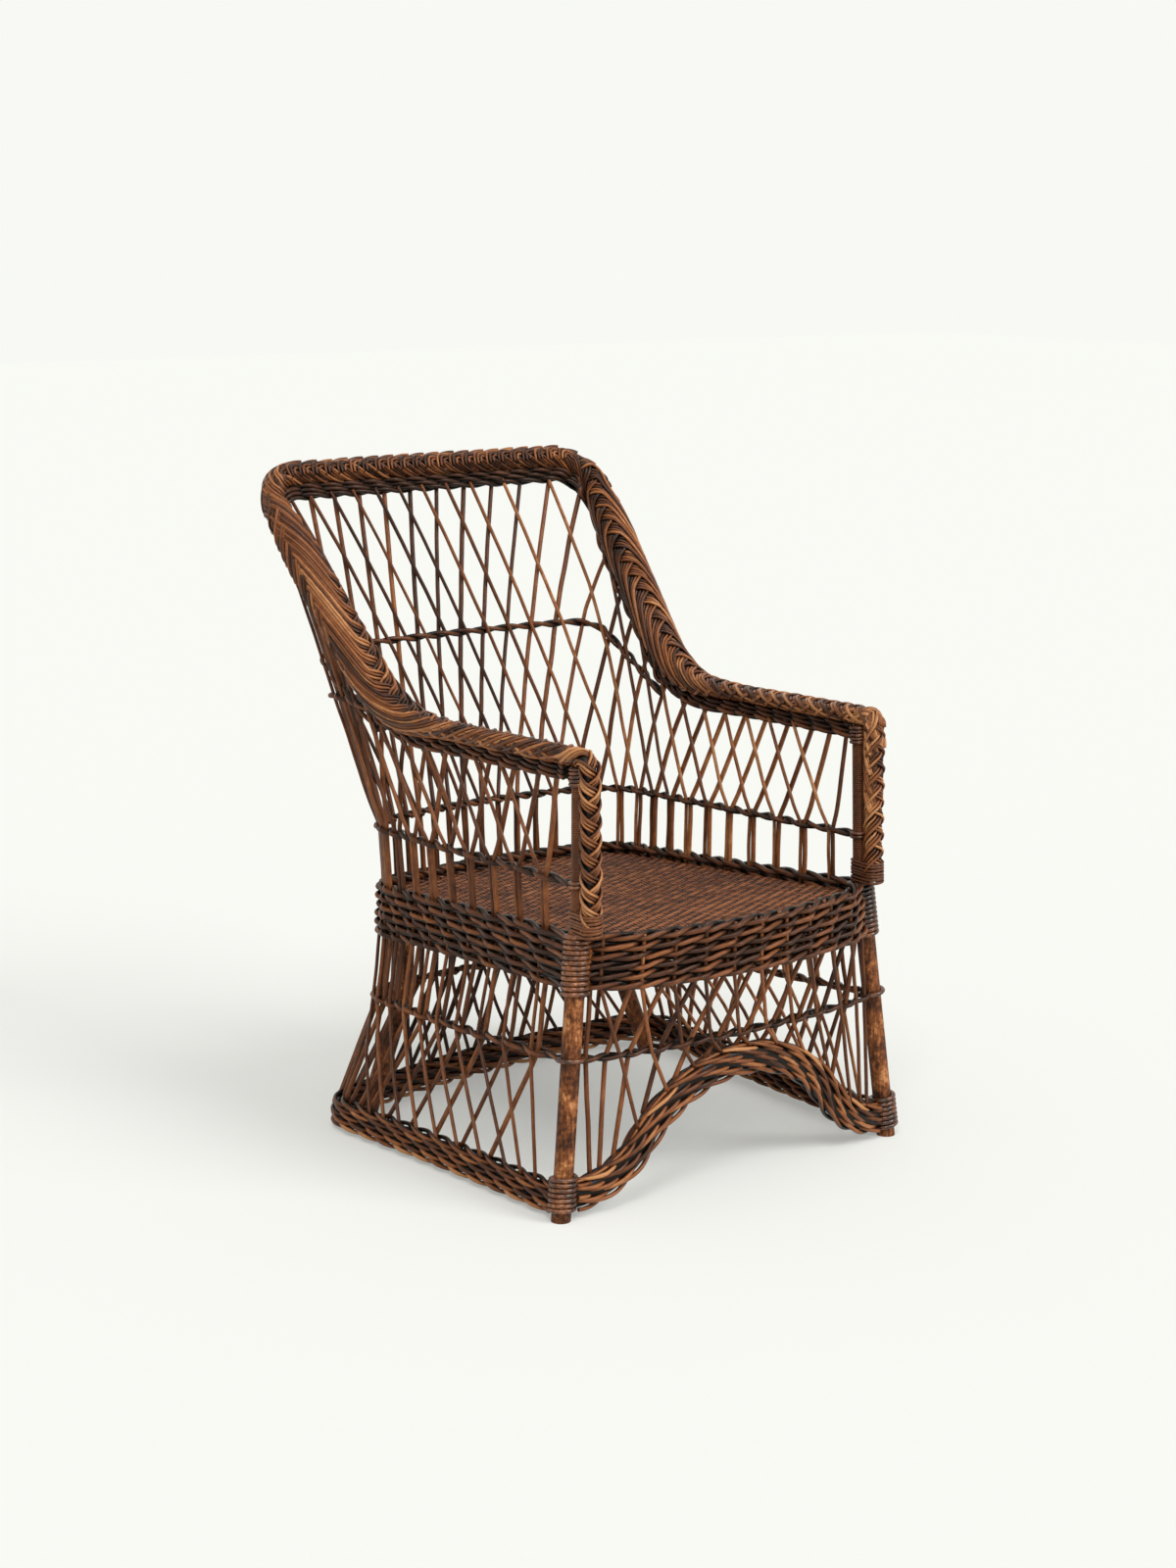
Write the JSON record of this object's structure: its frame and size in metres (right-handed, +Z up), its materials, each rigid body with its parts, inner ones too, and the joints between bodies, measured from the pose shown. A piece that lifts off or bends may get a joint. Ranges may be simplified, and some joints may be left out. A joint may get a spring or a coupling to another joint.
{
  "type": "wicker armchair",
  "caption": "Woven willow armchair with a leaning winged back, plaited rim and arms, diamond lattice sides, a woven seat and an arched openwork skirt.",
  "frame": {"origin": "middle of the outline seen from above, on the floor", "axes": "+Z up, the sitter faces -Y, +X to the right as seen from the front"},
  "size_m": [0.685, 0.8298, 0.9659],
  "materials": {
    "leg_wood": "worn satin varnish",
    "frame_wood": "bare",
    "cane_binding": "gloss varnish",
    "seat_weave": "satin varnish",
    "plait": "satin varnish",
    "willow": "satin varnish",
    "nail": "dull"
  },
  "bodies": {
    "root": {"arm_bindings": "cane_binding", "back_arm_rail": "willow", "back_foot_border": "plait", "back_left_leg": "leg_wood", "back_rail": "willow", "back_right_leg": "leg_wood", "back_rim_binder": "willow", "back_rim_braid": "plait", "back_seat_band": "willow", "back_seat_rail": "frame_wood", "back_skirt_rail": "willow", "back_stakes": "willow", "foot_coils": "cane_binding", "frame_nails": "nail", "front_arch_border": "plait", "front_left_leg": "leg_wood", "front_right_leg": "leg_wood", "front_seat_band": "willow", "front_seat_rail": "frame_wood", "front_skirt_rail": "willow", "front_stakes": "willow", "left_arm_plait": "plait", "left_arm_post": "frame_wood", "left_arm_rail": "willow", "left_foot_border": "plait", "left_post_wrap": "cane_binding", "left_rim_binder": "willow", "left_rim_braid": "plait", "left_seat_band": "willow", "left_seat_rail": "frame_wood", "left_skirt_rail": "willow", "left_stakes": "willow", "left_wing_row": "willow", "plait_bindings": "cane_binding", "rail_bindings": "cane_binding", "right_arm_plait": "plait", "right_arm_post": "frame_wood", "right_arm_rail": "willow", "right_foot_border": "plait", "right_post_wrap": "cane_binding", "right_rim_binder": "willow", "right_rim_braid": "plait", "right_seat_band": "willow", "right_seat_rail": "frame_wood", "right_skirt_rail": "willow", "right_stakes": "willow", "seat_bearers": "frame_wood", "seat_coils": "cane_binding", "seat_panel": "seat_weave", "skirt_rings": "cane_binding"}
  },
  "joints": []
}
